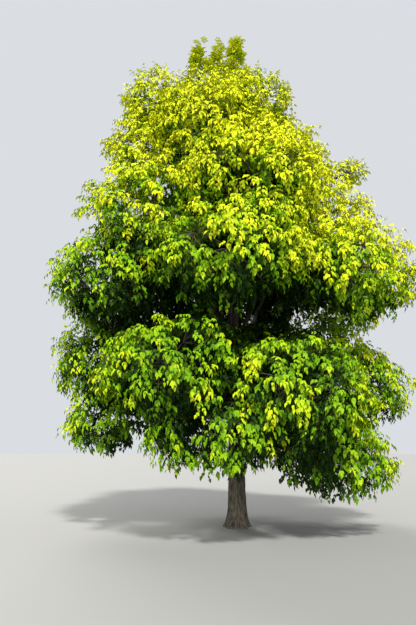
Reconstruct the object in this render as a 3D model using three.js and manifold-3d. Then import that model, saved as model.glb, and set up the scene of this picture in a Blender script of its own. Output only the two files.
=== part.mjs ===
// A golden box elder: a broad, conical garden tree clothed almost to the ground.
// Millimetres, +Z up, +X to the right of the front view. The origin is the centre of
// the flat cut under the trunk, at ground level.
import * as THREE from "three";
import { mergeVertices } from "three/addons/utils/BufferGeometryUtils.js";
import Module from "manifold-3d";

const wasm = await Module();
wasm.setup();

// Driving dimensions of the trunk
const TRUNK_HEIGHT = 8950;
const TRUNK_FOOT_RADIUS = 185;
const TRUNK_LEAN = new THREE.Vector2(-40, 60);
const TRUNK_SWAY = new THREE.Vector2(-110, 70);
const TRUNK_SIDES = 15;
const TRUNK_STEPS = 11;
const TRUNK_TAPER = 0.85;
const TRUNK_STEPS_BELOW = 1.7;
const FLARE_FADE = 173;
const FLARE_MEAN = 0.38;
const FLARE_RIDGE = 0.24;
const FLARE_ROOTS = 5;

// The crown is built in tiers. A tier has one bough and one mass of leaves for each
// turn round the trunk; where a tier has no boughs, its masses grow from the trunk.
// height: of the masses' middles. slant: how much higher they are on the left than on
// the right. sink: how much lower they are at the front than at the back. left, right:
// how far the crown reaches there. length, width, depth: half-sizes of a mass outwards,
// sideways and upwards. tilt: of the mass, in degrees, below the level where negative.
// droop: of its leaves. core: the share that is solid.
const TIERS = [
  {
    name: "skirt", count: 5, firstTurn: 36, attach: 1280, height: 1840, slant: 500, sink: 0,
    left: 3600, right: 3250, length: 1350, width: 1500, depth: 820,
    tilt: -22, droop: 1.0, core: 0.44, boughs: true, colour: "green",
  },
  {
    name: "low", count: 6, firstTurn: 0, attach: 2050, height: 3250, slant: 500, sink: 1000,
    left: 3900, right: 3650, length: 1500, width: 1620, depth: 950,
    tilt: -16, droop: 0.9, core: 0.46, boughs: true, colour: "green",
  },
  {
    name: "broad", count: 6, firstTurn: 30, attach: 3350, height: 4760, slant: -50, sink: 0,
    left: 3980, right: 3950, length: 1600, width: 1700, depth: 1080,
    tilt: -14, droop: 0.85, core: 0.5, boughs: true, colour: "gold",
  },
  {
    name: "middle", count: 5, firstTurn: 0, attach: 4800, height: 6200, slant: -200, sink: 0,
    left: 3600, right: 3100, length: 1500, width: 1600, depth: 1200,
    tilt: 0, droop: 0.75, core: 0.52, boughs: true, colour: "gold",
  },
  {
    name: "upper", count: 5, firstTurn: 36, attach: 6400, height: 7600, slant: 400, sink: 0,
    left: 2880, right: 2150, length: 1250, width: 1300, depth: 1150,
    tilt: 10, droop: 0.65, core: 0.52, boughs: false, colour: "gold",
  },
  {
    name: "shoulder", count: 3, firstTurn: 60, attach: 7900, height: 8700, slant: 500, sink: 0,
    left: 2540, right: 1300, length: 930, width: 960, depth: 850,
    tilt: 12, droop: 0.5, core: 0.52, boughs: false, colour: "gold",
  },
];
const TURN_SCATTER = 14;
const HEIGHT_SCATTER = 420;
const SIZE_SCATTER = 0.14;
const TIER_SEED = 685;
const MASS_SEED = 7001;
const SEED_STEP = 97;

// Upright shoots above the crown: the top one carries the trunk on, and the other two
// have limbs of their own. tip: the top of the foliage. half, reach: half its height and
// its width. fork: the height at which its limb leaves the trunk.
const TOP_LEADER = { name: "leader_right", tip: 10900, half: 1320, reach: 520 };
const SIDE_LEADERS = [
  { name: "leader_left", x: -780, y: -150, tip: 10640, half: 1160, reach: 430, fork: 7850 },
  { name: "leader_middle", x: -400, y: 440, tip: 10930, half: 1130, reach: 430, fork: 8010 },
];
const LEADER_DROOP = 0.08;
const LEADER_CORE = 0.46;

// A spur of foliage that stands out of the right side, higher than the shelf below it
const SPUR = {
  x: 2450, y: 0, z: 7350, tilt: 14, length: 560, width: 380, depth: 290, fork: 5900,
  droop: 0.3, core: 0.46,
};

// Limbs and twigs
const BOUGH_SIDES = 5;
const BOUGH_STEPS = 4;
const BOUGH_FOOT_SHARE = 0.38;
const BOUGH_TAPER = 0.8;
const LIMB_TIP_RADIUS = 36;
const BOUGH_RISE = 0.75;
const BOUGH_BEND = 0.35;
const BOUGH_STAGGER = 170;
const ENTRY_SHARE = 0.8;
const ENTRY_DROP = 0.25;
const TWIGS_PER_MASS = 5;
const TWIGS_PER_LEADER = 4;
const STEM_SIDES = 4;
const TWIG_SIDES = 3;
const TWIG_RADIUS = 30;
const TWIG_TIP_RADIUS = 24;
const TWIG_REACH = [0.54, 0.66];
const TWIG_SWEEP = [0.95, -0.33];
const TWIG_TURN_SCATTER = 0.6;

// One blade stands for a leafy spray. It reaches from its twig to the mass's edge, and is
// shortened where a neighbour or a limb is near, or left out below the last size.
const BLADE_SIZES = [1, 0.85, 0.7, 0.55, 0.42];
const BLADE_SLIMNESS = 0.42;
const BLADE_WIDEST = 0.45;
const BLADE_THINNESS = 0.028;
const BLADE_BEND = 0.12;
const BLADE_REACH = 0.99;
const FAN_SCATTER = [0.8, 1.2];
const DROOP_SCATTER = [0.7, 1.3];
const BLADE_FAN = [
  { along: 0.97, aside: 0 },
  { along: 0.86, aside: -0.95 },
  { along: 0.75, aside: 0.95 },
];
const CORE_INWARD = 0.3;
const CORE_ROUGHNESS = 0.16;
const CORE_LEAST = 0.1;
const CORE_STEP = 0.03;

// Gaps between neighbouring solids
const SEAT_GAP = 0.3;
const CELL_GAP = 6;

// The slope below which a limb counts as upright, and the angle that winds twigs evenly
const UPRIGHT_SLOPE = 0.05;
const GOLDEN_ANGLE = Math.PI * (3 - Math.sqrt(5));

const COLOURS = {
  bark: new THREE.MeshStandardMaterial({ color: 0x6e6152, roughness: 0.95, metalness: 0 }),
  gold: new THREE.MeshStandardMaterial({ color: 0xc3cb22, roughness: 0.6, metalness: 0 }),
  green: new THREE.MeshStandardMaterial({ color: 0x7fae22, roughness: 0.6, metalness: 0 }),
};

// Random numbers that are the same on every run
function seeded(seed) {
  let state = seed;
  return () => {
    state = (1664525 * state + 1013904223) % 4294967296;
    return state / 4294967296;
  };
}

function mix(a, b, share) {
  return a + (b - a) * share;
}

// A closed three.js shape as a solid that can be cut and joined
function solidOf(geometry) {
  geometry.deleteAttribute("normal");
  geometry.deleteAttribute("uv");
  const merged = mergeVertices(geometry, 1e-3);
  return new wasm.Manifold(
    new wasm.Mesh({
      numProp: 3,
      vertProperties: merged.getAttribute("position").array,
      triVerts: new Uint32Array(merged.index.array),
    }),
  );
}

// A solid's largest piece as a named mesh: loose scraps and sealed hollows are left out
function meshOf(name, solid, material) {
  const pieces = solid.decompose().sort((a, b) => b.volume() - a.volume());
  const data = pieces[0].getMesh();
  const geometry = new THREE.BufferGeometry();
  geometry.setAttribute("position", new THREE.BufferAttribute(data.vertProperties, 3));
  geometry.setIndex(new THREE.BufferAttribute(data.triVerts, 1));
  geometry.computeVertexNormals();
  const mesh = new THREE.Mesh(geometry, material);
  mesh.name = name;
  return mesh;
}

// A path's direction. It is worked out from two near points, so its last digits are
// rounded away, which leaves the foot of the trunk exactly level.
function headingAt(path, share) {
  const digits = 1e5;
  return path.getTangent(share).multiplyScalar(digits).round().divideScalar(digits);
}

// The level direction square to a path, or +Y where the path is upright: the angle round
// a limb is counted from it, so that its rings don't twist
function levelAcross(path) {
  const chord = path.getPoint(1).sub(path.getPoint(0));
  const across = new THREE.Vector3(-chord.y, chord.x, 0);
  const upright = across.length() < UPRIGHT_SLOPE * chord.length();
  return upright ? new THREE.Vector3(0, 1, 0) : across.normalize();
}

// A round limb: a cylinder whose rings are moved onto a path. radiusAt takes the share
// of the way along the path and the angle round it.
function limbAlong(path, radiusAt, sides, steps, ringAt = (share) => share) {
  const shape = new THREE.CylinderGeometry(1, 1, 1, sides, steps);
  const places = shape.getAttribute("position");
  const level = levelAcross(path);
  for (let i = 0; i < places.count; i += 1) {
    const share = ringAt(places.getY(i) + 0.5);
    const along = headingAt(path, share);
    const first = level.clone().addScaledVector(along, -along.dot(level)).normalize();
    const second = first.clone().cross(along);
    const radius = radiusAt(share, Math.atan2(places.getZ(i), places.getX(i)));
    const place = path
      .getPoint(share)
      .addScaledVector(first, places.getX(i) * radius)
      .addScaledVector(second, places.getZ(i) * radius);
    places.setXYZ(i, place.x, place.y, place.z);
  }
  return solidOf(shape);
}

// Trunk: straight up out of the ground, then leaning a little with one slow bend
const trunkPath = new THREE.CubicBezierCurve3(
  new THREE.Vector3(0, 0, 0),
  new THREE.Vector3(0, 0, TRUNK_HEIGHT / 3),
  new THREE.Vector3(TRUNK_SWAY.x, TRUNK_SWAY.y, (TRUNK_HEIGHT * 2) / 3),
  new THREE.Vector3(TRUNK_LEAN.x, TRUNK_LEAN.y, TRUNK_HEIGHT),
);

function trunkRadius(share, angle) {
  const plain = mix(TRUNK_FOOT_RADIUS, LIMB_TIP_RADIUS, share ** TRUNK_TAPER);
  const fade = Math.exp((-share * TRUNK_HEIGHT) / FLARE_FADE);
  return plain * (1 + fade * (FLARE_MEAN + FLARE_RIDGE * Math.cos(FLARE_ROOTS * angle)));
}

function trunkSolid(extra) {
  const radiusAt = (share, angle) => trunkRadius(share, angle) + extra;
  const closerBelow = (share) => share ** TRUNK_STEPS_BELOW;
  return limbAlong(trunkPath, radiusAt, TRUNK_SIDES, TRUNK_STEPS, closerBelow);
}

// Where a limb that is attached at this height starts, on the trunk's middle line
function trunkPointAt(height) {
  return trunkPath.getPoint(height / TRUNK_HEIGHT);
}

// A mass of leaves: its middle, its own axes and its half-sizes along them
function massOf(name, middle, turn, tilt, sizes) {
  const out = new THREE.Vector3(Math.cos(turn), Math.sin(turn), Math.tan(tilt)).normalize();
  const side = new THREE.Vector3(-Math.sin(turn), Math.cos(turn), 0);
  const up = out.clone().cross(side);
  const size = Math.cbrt(sizes[0] * sizes[1] * sizes[2]);
  return { name, middle, out, side, up, sizes, size };
}

// The point of a mass in a direction given along its own axes
function pointIn(mass, direction, share) {
  return mass.middle
    .clone()
    .addScaledVector(mass.out, direction.x * mass.sizes[0] * share)
    .addScaledVector(mass.side, direction.y * mass.sizes[1] * share)
    .addScaledVector(mass.up, direction.z * mass.sizes[2] * share);
}

// How far out of a mass's middle a point lies: 1 at the mass's edge
function shareIn(mass, point) {
  const offset = point.clone().sub(mass.middle);
  return Math.hypot(
    offset.dot(mass.out) / mass.sizes[0],
    offset.dot(mass.side) / mass.sizes[1],
    offset.dot(mass.up) / mass.sizes[2],
  );
}

function tierMasses(tier, tierIndex) {
  const random = seeded(TIER_SEED + SEED_STEP * tierIndex);
  const scatter = (width) => (random() - 0.5) * width;
  return Array.from({ length: tier.count }, (_, index) => {
    const even = tier.firstTurn + (index * 360) / tier.count;
    const turn = THREE.MathUtils.degToRad(even + scatter(TURN_SCATTER));
    const tilt = THREE.MathUtils.degToRad(tier.tilt);
    const grown = 1 + scatter(SIZE_SCATTER);
    const reach = mix(tier.left, tier.right, (1 + Math.cos(turn)) / 2) - tier.length * grown;
    const raised = (tier.sink * Math.sin(turn) - tier.slant * Math.cos(turn)) / 2;
    const height = tier.height + raised + scatter(HEIGHT_SCATTER);
    const middle = new THREE.Vector3(Math.cos(turn) * reach, Math.sin(turn) * reach, height);
    const sizes = [tier.length * grown, tier.width * grown, tier.depth * grown];
    const mass = massOf(`${tier.name}_${index + 1}`, middle, turn, tilt, sizes);
    const attach = tier.attach + ((index * 2) % tier.count) * (BOUGH_STAGGER / 2);
    const carrier = tier.boughs ? "bough" : "trunk side";
    return { ...mass, attach, carrier, droop: tier.droop, core: tier.core, colour: tier.colour };
  });
}

function leaderMass(leader, middle, carrier, attach) {
  const sizes = [leader.reach, leader.reach, leader.half];
  const mass = massOf(leader.name, middle, 0, 0, sizes);
  const looks = { upright: true, droop: LEADER_DROOP, core: LEADER_CORE, colour: "gold" };
  return { ...mass, attach, carrier, ...looks };
}

// The top leader stands in line with the end of the trunk
function topLeaderMass() {
  const end = trunkPath.getPoint(1);
  const along = trunkPath.getTangent(1);
  const height = TOP_LEADER.tip - TOP_LEADER.half - end.z;
  const middle = end.addScaledVector(along, height / along.z);
  return leaderMass(TOP_LEADER, middle, "trunk tip", TRUNK_HEIGHT);
}

const sideLeaderMasses = SIDE_LEADERS.map((leader) => {
  const middle = new THREE.Vector3(leader.x, leader.y, leader.tip - leader.half);
  return leaderMass(leader, middle, "bough", leader.fork);
});

function spurMass() {
  const middle = new THREE.Vector3(SPUR.x, SPUR.y, SPUR.z);
  const sizes = [SPUR.length, SPUR.width, SPUR.depth];
  const mass = massOf("spur", middle, 0, THREE.MathUtils.degToRad(SPUR.tilt), sizes);
  const looks = { droop: SPUR.droop, core: SPUR.core, colour: "gold" };
  return { ...mass, attach: SPUR.fork, carrier: "bough", ...looks };
}

const masses = [
  ...TIERS.flatMap(tierMasses),
  topLeaderMass(),
  ...sideLeaderMasses,
  spurMass(),
];

// Each mass keeps to its own cell: the points that lie nearer to it than to any other
// mass, by flat walls between them, so that no blade inside can meet a neighbour's.
function ownsPoint(mass, point) {
  const own = point.distanceToSquared(mass.middle) - mass.size ** 2;
  return masses.every((other) => {
    if (other === mass) return true;
    const theirs = point.distanceToSquared(other.middle) - other.size ** 2;
    const apart = other.middle.distanceTo(mass.middle);
    return (theirs - own) / (2 * apart) > CELL_GAP / 2;
  });
}

// Where the mass's own stem takes over: from a bough's tip at the side towards the trunk
// or at the foot of an upright shoot, from the trunk's tip, or out of the trunk's side
function entryOf(mass) {
  if (mass.carrier === "trunk side") return trunkPointAt(mass.attach);
  if (mass.carrier === "trunk tip") return trunkPath.getPoint(1);
  const inward = mass.upright ? new THREE.Vector3(0, 0, -1) : new THREE.Vector3(-1, 0, -ENTRY_DROP);
  return pointIn(mass, inward, ENTRY_SHARE);
}

// The stem's direction, from the bough's tip to the middle of the mass
function stemHeading(mass) {
  return mass.middle.clone().sub(entryOf(mass)).normalize();
}

// A bough leaves the trunk steeply and levels out towards its mass, so that it ends in
// line with the stem that carries the leaves on
function boughPath(mass) {
  const start = trunkPointAt(mass.attach);
  const end = entryOf(mass);
  const bend = start.distanceTo(end) * BOUGH_BEND;
  const leaving = end.clone().sub(start).setZ(0).normalize().setZ(BOUGH_RISE).normalize();
  return new THREE.CubicBezierCurve3(
    start,
    start.clone().addScaledVector(leaving, bend),
    end.clone().addScaledVector(stemHeading(mass), -bend),
    end,
  );
}

function boughSolid(mass, extra) {
  const foot = trunkRadius(mass.attach / TRUNK_HEIGHT, 0) * BOUGH_FOOT_SHARE;
  const radiusAt = (share) => mix(foot, LIMB_TIP_RADIUS, share ** BOUGH_TAPER) + extra;
  return limbAlong(boughPath(mass), radiusAt, BOUGH_SIDES, BOUGH_STEPS);
}

function straightTwig(from, to, startRadius, endRadius, sides) {
  const path = new THREE.LineCurve3(from, to);
  return limbAlong(path, (share) => mix(startRadius, endRadius, share), sides, 1);
}

// The stem of a mass starts just clear of the bough or trunk that carries it
function stemSolid(mass, extra) {
  const foot = entryOf(mass).addScaledVector(stemHeading(mass), SEAT_GAP);
  const radii = [LIMB_TIP_RADIUS + extra, TWIG_RADIUS + extra];
  const stem = straightTwig(foot, mass.middle, ...radii, STEM_SIDES);
  return mass.carrier === "trunk side" ? stem.subtract(trunkSolid(SEAT_GAP)) : stem;
}

// The blade: an octahedron drawn out to a point at both ends, widest near its middle,
// with its tip bent down. Its root is sunk to the twig's middle.
function bladeSolid(root, tip) {
  const shape = new THREE.OctahedronGeometry(1);
  const places = shape.getAttribute("position");
  const along = tip.clone().sub(root).normalize();
  const across = new THREE.Vector3(0, 0, 1).cross(along).normalize();
  const face = along.clone().cross(across);
  const length = root.distanceTo(tip);
  for (let i = 0; i < places.count; i += 1) {
    const share = places.getX(i) === 0 ? BLADE_WIDEST : (places.getX(i) + 1) / 2;
    const place = root
      .clone()
      .addScaledVector(along, share * length)
      .addScaledVector(across, (places.getY(i) * length * BLADE_SLIMNESS) / 2)
      .addScaledVector(face, (places.getZ(i) * length * BLADE_THINNESS) / 2);
    if (share < 1) place.z += length * BLADE_BEND * share;
    places.setXYZ(i, place.x, place.y, place.z);
  }
  return solidOf(shape);
}

// A twig or blade fits where it stays inside its mass and cell and touches no limb
function fits(mass, solid, obstacles) {
  const data = solid.getMesh();
  for (let i = 0; i < data.numVert; i += 1) {
    const corner = new THREE.Vector3().fromArray(data.vertProperties, i * data.numProp);
    if (shareIn(mass, corner) > 1 || !ownsPoint(mass, corner)) return false;
  }
  return solid.intersect(obstacles).isEmpty();
}

// The leafy middle that the twigs stand out of: drawn out towards the trunk, where the
// twigs are few, and drawn in where a neighbour is near
function coreSolid(mass, random) {
  const shape = new THREE.IcosahedronGeometry(1, 0);
  shape.deleteAttribute("normal");
  shape.deleteAttribute("uv");
  const merged = mergeVertices(shape, 1e-3);
  const places = merged.getAttribute("position");
  for (let i = 0; i < places.count; i += 1) {
    const direction = new THREE.Vector3().fromBufferAttribute(places, i);
    const inward = mass.upright ? 0 : Math.max(0, -direction.x) * CORE_INWARD;
    let share = mass.core + inward + (random() - 0.5) * CORE_ROUGHNESS;
    while (share > CORE_LEAST && !ownsPoint(mass, pointIn(mass, direction, share))) {
      share -= CORE_STEP;
    }
    const place = pointIn(mass, direction, share);
    places.setXYZ(i, place.x, place.y, place.z);
  }
  return solidOf(merged);
}

// The twigs' directions wind round the mass's leading axis by the golden angle, and
// leave out the side that faces the trunk
function twigDirections(mass, random) {
  const count = mass.upright ? TWIGS_PER_LEADER : TWIGS_PER_MASS;
  return Array.from({ length: count }, (_, index) => {
    const ahead = mix(...TWIG_SWEEP, index / (count - 1));
    const round = index * GOLDEN_ANGLE + random() * TWIG_TURN_SCATTER;
    const across = Math.sqrt(1 - ahead ** 2);
    const first = across * Math.cos(round);
    const second = across * Math.sin(round);
    return mass.upright
      ? new THREE.Vector3(first, second, ahead)
      : new THREE.Vector3(ahead, first, second);
  });
}

// The blades hang in a fan from the twig's tip out to the mass's edge
function bladesOn(mass, direction, twigTip, obstacles, random) {
  const sideways = direction.clone().cross(new THREE.Vector3(0, 0, 1)).normalize();
  const blades = BLADE_FAN.map(({ along, aside }) => {
    const root = mass.middle.clone().lerp(twigTip, along);
    const edge = direction.clone().addScaledVector(sideways, aside * mix(...FAN_SCATTER, random()));
    edge.z -= mass.droop * mix(...DROOP_SCATTER, random());
    const tip = pointIn(mass, edge.normalize(), BLADE_REACH);
    const sizes = BLADE_SIZES.map((size) => bladeSolid(root, root.clone().lerp(tip, size)));
    return sizes.find((blade) => fits(mass, blade, obstacles));
  });
  return blades.filter((blade) => blade);
}

// Stem, core, twigs and blades, fused
function massSolid(mass, obstacles, grownObstacles, random) {
  const core = coreSolid(mass, random).subtract(grownObstacles);
  const parts = [stemSolid(mass, 0), core];
  twigDirections(mass, random).forEach((direction) => {
    const tip = pointIn(mass, direction, mix(...TWIG_REACH, random()));
    const twig = straightTwig(mass.middle, tip, TWIG_RADIUS, TWIG_TIP_RADIUS, TWIG_SIDES);
    const blades = bladesOn(mass, direction, tip, obstacles, random);
    if (fits(mass, twig, obstacles)) parts.push(twig, ...blades);
  });
  return wasm.Manifold.union(parts);
}

const tree = new THREE.Group();
const trunk = trunkSolid(0);
const grownTrunk = trunkSolid(SEAT_GAP);
tree.add(meshOf("trunk", trunk, COLOURS.bark));

const boughs = masses
  .filter((mass) => mass.carrier === "bough")
  .map((mass) => ({ mass, solid: boughSolid(mass, 0).subtract(grownTrunk) }));
boughs.forEach(({ mass, solid }) => {
  tree.add(meshOf(`bough_${mass.name}`, solid, COLOURS.bark));
});

const limbs = [trunk, ...boughs.map(({ solid }) => solid)];
const grownLimbs = [trunkSolid(CELL_GAP), ...boughs.map(({ mass }) => boughSolid(mass, CELL_GAP))];
masses.forEach((mass, index) => {
  const others = masses.filter((other) => other !== mass);
  const stems = others.map((other) => stemSolid(other, 0));
  const grownStems = others.map((other) => stemSolid(other, CELL_GAP));
  const obstacles = wasm.Manifold.union([...limbs, ...stems]);
  const grownObstacles = wasm.Manifold.union([...grownLimbs, ...grownStems]);
  const solid = massSolid(mass, obstacles, grownObstacles, seeded(MASS_SEED + SEED_STEP * index));
  tree.add(meshOf(`leaves_${mass.name}`, solid, COLOURS[mass.colour]));
});

export default tree;
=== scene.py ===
# A golden box elder: a broad, conical garden tree clothed almost to the ground. Metres,
# +Z up, +X to the right of the front view, the origin at the flat cut under the trunk.
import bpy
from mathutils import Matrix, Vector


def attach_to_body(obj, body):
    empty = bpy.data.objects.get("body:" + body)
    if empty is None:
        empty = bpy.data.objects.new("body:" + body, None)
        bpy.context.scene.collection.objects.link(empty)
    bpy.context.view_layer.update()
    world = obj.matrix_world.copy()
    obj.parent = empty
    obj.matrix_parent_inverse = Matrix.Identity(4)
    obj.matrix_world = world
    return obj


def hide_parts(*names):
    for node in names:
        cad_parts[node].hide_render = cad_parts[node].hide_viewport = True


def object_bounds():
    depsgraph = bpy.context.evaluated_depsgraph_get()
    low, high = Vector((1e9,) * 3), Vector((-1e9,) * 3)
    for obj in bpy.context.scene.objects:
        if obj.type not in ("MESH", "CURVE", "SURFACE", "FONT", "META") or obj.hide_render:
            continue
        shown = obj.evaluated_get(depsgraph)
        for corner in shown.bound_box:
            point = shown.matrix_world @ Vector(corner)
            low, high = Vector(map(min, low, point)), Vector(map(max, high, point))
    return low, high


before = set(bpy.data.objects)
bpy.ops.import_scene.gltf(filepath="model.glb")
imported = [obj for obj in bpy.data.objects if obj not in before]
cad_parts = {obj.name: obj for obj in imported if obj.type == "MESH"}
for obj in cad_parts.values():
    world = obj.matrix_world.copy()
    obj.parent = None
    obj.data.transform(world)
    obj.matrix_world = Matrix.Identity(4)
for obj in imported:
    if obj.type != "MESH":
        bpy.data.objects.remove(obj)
cad_box = [list(corner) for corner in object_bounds()]

import math

import bmesh
import bpy
import numpy as np
from mathutils import Vector, noise


# Trunk
# One tapering stem of grey-brown, furrowed bark with five low root ridges at its foot.
# It is a grid rolled into a tube on the trunk's path, with the bark raised in the mesh,
# and it ends inside the right leader.
TRUNK_HEIGHT = 8.95
TRUNK_FOOT_RADIUS = 0.185
TRUNK_LEAN = (-0.04, 0.06)
TRUNK_SWAY = (-0.11, 0.07)
TRUNK_TAPER = 0.85
TRUNK_RINGS_BELOW = 1.7
FLARE_FADE = 0.173
FLARE_MEAN = 0.38
FLARE_RIDGE = 0.24
FLARE_ROOTS = 5
LIMB_TIP_RADIUS = 0.036
TRUNK_SIDES = 84
TRUNK_RINGS = 230
FURROWS_PER_METRE = 19
FURROW_STRETCH = 6
BARK_RELIEF = 0.011
BARK_FULL_RADIUS = 0.16
MIDDLE_RIDGE = 0.5
KNOTS_PER_METRE = 2.5
KNOT_HEIGHT = 0.7
GRAINS_PER_FURROW = 2.2
GRAIN_DEPTH = 0.006
GRAIN_STRENGTH = 0.7
GRAIN_DETAIL = 5
FURROWS_UP_TO = 0.36
RIDGES_FROM = 0.62
BLOOM_PATCHES_PER_METRE = 5
BLOOM_DETAIL = 6
BLOOM_EDGE = (0.52, 0.72)
BLOOM_MOST = 0.6
BARK_ROUGHNESS = 0.9
BARK_GLOSS = 0.25
OLD_BARK = {
    "ridges": (0.18, 0.152, 0.12),
    "furrows": (0.052, 0.042, 0.033),
    "bloom": (0.16, 0.18, 0.11),
}
UPRIGHT_SLOPE = 0.05
CHORDS_MEASURED = 8
WELD_DISTANCE = 1e-5

trunk_curve = [
    Vector((0, 0, 0)),
    Vector((0, 0, TRUNK_HEIGHT / 3)),
    Vector((*TRUNK_SWAY, TRUNK_HEIGHT * 2 / 3)),
    Vector((*TRUNK_LEAN, TRUNK_HEIGHT)),
]


def mix(a, b, share):
    return a + (b - a) * share


def point_on(curve, share):
    """The place a share of the way along a cubic curve of four points."""
    a, b, c, d = curve
    rest = 1 - share
    return a * rest**3 + b * 3 * rest**2 * share + c * 3 * rest * share**2 + d * share**3


def heading_on(curve, share):
    a, b, c, d = curve
    rest = 1 - share
    return ((b - a) * rest**2 + (c - b) * 2 * rest * share + (d - c) * share**2).normalized()


def length_of(curve):
    stops = [point_on(curve, i / CHORDS_MEASURED) for i in range(CHORDS_MEASURED + 1)]
    return sum((stops[i] - stops[i + 1]).length for i in range(CHORDS_MEASURED))


def trunk_radius(share, angle):
    plain = mix(TRUNK_FOOT_RADIUS, LIMB_TIP_RADIUS, share**TRUNK_TAPER)
    fade = math.exp(-share * TRUNK_HEIGHT / FLARE_FADE)
    return plain * (1 + fade * (FLARE_MEAN + FLARE_RIDGE * math.cos(FLARE_ROOTS * angle)))


def bark_height(place, radius):
    """Ridges between long furrows that run with the limb, lower on a thin limb."""
    squeezed = Vector((place.x, place.y, place.z / FURROW_STRETCH)) * FURROWS_PER_METRE
    ridge = 1 - 2 * abs(noise.noise(squeezed))
    knots = noise.noise(place * KNOTS_PER_METRE)
    relief = BARK_RELIEF * min(1, radius / BARK_FULL_RADIUS)
    return relief * (ridge - MIDDLE_RIDGE + KNOT_HEIGHT * knots)


def level_beside(curve):
    """The level direction square to a curve, or +Y where the curve is upright."""
    chord = curve[3] - curve[0]
    across = Vector((-chord.y, chord.x, 0))
    upright = across.length < UPRIGHT_SLOPE * chord.length
    return Vector((0, 1, 0)) if upright else across.normalized()


def roll_limb(mesh, curve, radius_at, sides, rings, ring_at=lambda share: share):
    """A limb: a flat grid rolled up round a curve, welded along its seam and closed.

    Each corner keeps its place on the limb as if that ran straight up, for the bark.
    """
    straight = mesh.verts.layers.float_vector.get("straight")
    half = 0.5
    grid = bmesh.ops.create_grid(mesh, x_segments=sides, y_segments=rings, size=half)["verts"]
    length = length_of(curve)
    level = level_beside(curve)
    for corner in grid:
        share = ring_at(corner.co.y + half)
        angle = (corner.co.x + half) * math.tau
        along = heading_on(curve, share)
        first = (level - along * along.dot(level)).normalized()
        second = first.cross(along)
        radius = radius_at(share, angle)
        unrolled = Vector((math.cos(angle) * radius, math.sin(angle) * radius, share * length))
        corner[straight] = unrolled
        radius += bark_height(unrolled + curve[3], radius)
        around = first * math.cos(angle) + second * math.sin(angle)
        corner.co = point_on(curve, share) + around * radius
    bmesh.ops.remove_doubles(mesh, verts=grid, dist=WELD_DISTANCE)
    open_ends = [edge for edge in mesh.edges if edge.is_boundary]
    bmesh.ops.holes_fill(mesh, edges=open_ends, sides=sides)


def new_limb_mesh():
    mesh = bmesh.new()
    mesh.verts.layers.float_vector.new("straight")
    return mesh


def finish_piece(name, mesh, material, nodes):
    """The mesh as a piece of the tree, in place of the CAD nodes that it stands for."""
    bmesh.ops.recalc_face_normals(mesh, faces=mesh.faces)
    data = bpy.data.meshes.new(name)
    mesh.to_mesh(data)
    mesh.free()
    data.shade_smooth()
    place_piece(name, data, material, nodes)


def place_piece(name, data, material, nodes):
    data.materials.append(material)
    piece = bpy.data.objects.new(name, data)
    bpy.context.scene.collection.objects.link(piece)
    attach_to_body(piece, "root")
    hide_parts(*nodes)


def bark_material(name, colours):
    """Ridges, darker furrows and a thin, slightly green bloom in patches."""
    material = bpy.data.materials.new(name)
    material.use_nodes = True
    nodes = material.node_tree.nodes
    links = material.node_tree.links
    shader = nodes["Principled BSDF"]
    shader.inputs["Roughness"].default_value = BARK_ROUGHNESS
    shader.inputs["Specular IOR Level"].default_value = BARK_GLOSS
    straight = nodes.new("ShaderNodeAttribute")
    straight.attribute_name = "straight"
    squeeze = nodes.new("ShaderNodeMapping")
    squeeze.inputs["Scale"].default_value = (1, 1, 1 / FURROW_STRETCH)
    links.new(straight.outputs["Vector"], squeeze.inputs["Vector"])
    furrows = nodes.new("ShaderNodeTexNoise")
    furrows.inputs["Scale"].default_value = FURROWS_PER_METRE * GRAINS_PER_FURROW
    furrows.inputs["Detail"].default_value = GRAIN_DETAIL
    links.new(squeeze.outputs["Vector"], furrows.inputs["Vector"])
    tone = nodes.new("ShaderNodeValToRGB")
    tone.color_ramp.elements[0].position = FURROWS_UP_TO
    tone.color_ramp.elements[0].color = (*colours["furrows"], 1)
    tone.color_ramp.elements[1].position = RIDGES_FROM
    tone.color_ramp.elements[1].color = (*colours["ridges"], 1)
    links.new(furrows.outputs["Fac"], tone.inputs["Fac"])
    patches = nodes.new("ShaderNodeTexNoise")
    patches.inputs["Scale"].default_value = BLOOM_PATCHES_PER_METRE
    patches.inputs["Detail"].default_value = BLOOM_DETAIL
    links.new(straight.outputs["Vector"], patches.inputs["Vector"])
    cover = nodes.new("ShaderNodeMapRange")
    cover.inputs["From Min"].default_value = BLOOM_EDGE[0]
    cover.inputs["From Max"].default_value = BLOOM_EDGE[1]
    cover.inputs["To Max"].default_value = BLOOM_MOST
    links.new(patches.outputs["Fac"], cover.inputs["Value"])
    bloom = nodes.new("ShaderNodeMix")
    bloom.data_type = "RGBA"
    bloom.inputs["B"].default_value = (*colours["bloom"], 1)
    links.new(cover.outputs["Result"], bloom.inputs["Factor"])
    links.new(tone.outputs["Color"], bloom.inputs["A"])
    links.new(bloom.outputs["Result"], shader.inputs["Base Color"])
    bump = nodes.new("ShaderNodeBump")
    bump.inputs["Strength"].default_value = GRAIN_STRENGTH
    bump.inputs["Distance"].default_value = GRAIN_DEPTH
    links.new(furrows.outputs["Fac"], bump.inputs["Height"])
    links.new(bump.outputs["Normal"], shader.inputs["Normal"])
    return material


old_bark = bark_material("old_bark", OLD_BARK)
trunk_mesh = new_limb_mesh()
roll_limb(
    trunk_mesh, trunk_curve, trunk_radius, TRUNK_SIDES, TRUNK_RINGS,
    lambda share: share**TRUNK_RINGS_BELOW,
)
for corner in trunk_mesh.verts:
    corner.co.z = max(corner.co.z, 0)
finish_piece("trunk_bark", trunk_mesh, old_bark, ["trunk"])


# Boughs
# The four lower tiers of the crown have boughs, and three more carry two of the leaders
# and the spur on the right. Each is one tapering limb with a collar at its foot, which
# leaves the trunk steeply and levels out. It is rolled as the trunk is.

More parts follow.
